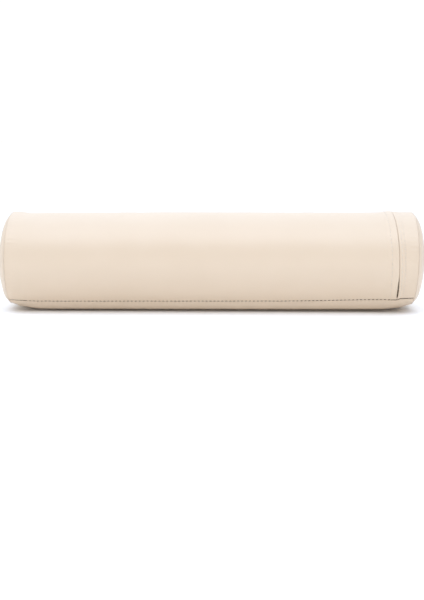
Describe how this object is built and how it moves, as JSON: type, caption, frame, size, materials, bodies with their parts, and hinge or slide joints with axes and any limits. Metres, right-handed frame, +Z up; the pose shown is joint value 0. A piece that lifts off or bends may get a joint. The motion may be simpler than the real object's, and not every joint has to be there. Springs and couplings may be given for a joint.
{
  "type": "bolster pillow",
  "caption": "Full round foam bolster in a smooth leathercloth casing with domed ends, a sewn bottom panel and a concealed zipper round one end that opens an end lid.",
  "frame": {"origin": "on the floor plane under the middle of the bolster, at the centre of the bottom of its box", "axes": "+X along the length towards the zipped end, -Y towards the side where the zipper slider parks, +Z up from the flattened foot"},
  "size_m": [0.658, 0.1576, 0.1525],
  "materials": {
    "cream_leathercloth": "satin",
    "core_foam": "matte",
    "cream_thread": "matte",
    "zipper_fabric": "matte",
    "zipper_nylon": "satin",
    "slider_metal": "satin"
  },
  "bodies": {
    "casing": {"foam_core": "core_foam", "main_panel": "cream_leathercloth", "bottom_panel": "cream_leathercloth", "bottom_panel_end": "cream_leathercloth", "left_end_panel": "cream_leathercloth", "left_end_seam_allowance": "cream_leathercloth", "front_seam_topstitch": "cream_thread", "back_seam_topstitch": "cream_thread", "zipper_tape_body": "zipper_fabric", "zipper_coil_body": "zipper_nylon", "zipper_topstitch_body": "cream_thread", "front_zipper_stop": "zipper_nylon", "back_zipper_stop": "zipper_nylon"},
    "end_lid": {"end_band": "cream_leathercloth", "right_end_panel": "cream_leathercloth", "right_end_seam_allowance": "cream_leathercloth", "zipper_tape_lid": "zipper_fabric", "zipper_coil_lid": "zipper_nylon", "zipper_topstitch_lid_inner": "cream_thread", "zipper_topstitch_lid_outer": "cream_thread"},
    "slider": {"zipper_slider": "slider_metal", "slider_bail": "slider_metal"},
    "pull": {"pull_tab": "slider_metal"}
  },
  "joints": [
    {"name": "end_lid_hinge", "type": "hinge", "parent": "casing", "child": "end_lid", "pos_m": [0.2845, 0, 0.01889], "axis": [0, 1, 0], "range_deg": [0, 60], "deforming": ["bottom_panel_end"]},
    {"name": "slider_travel", "type": "hinge", "parent": "casing", "child": "slider", "pos_m": [0.2845, 0, 0.0737], "axis": [-1, 0, 0], "range_deg": [0, 251.5]},
    {"name": "pull_tab_hinge", "type": "hinge", "parent": "slider", "child": "pull", "pos_m": [0.2845, -0.05949, 0.02466], "axis": [1, 0, 0], "range_deg": [0, 100]}
  ]
}
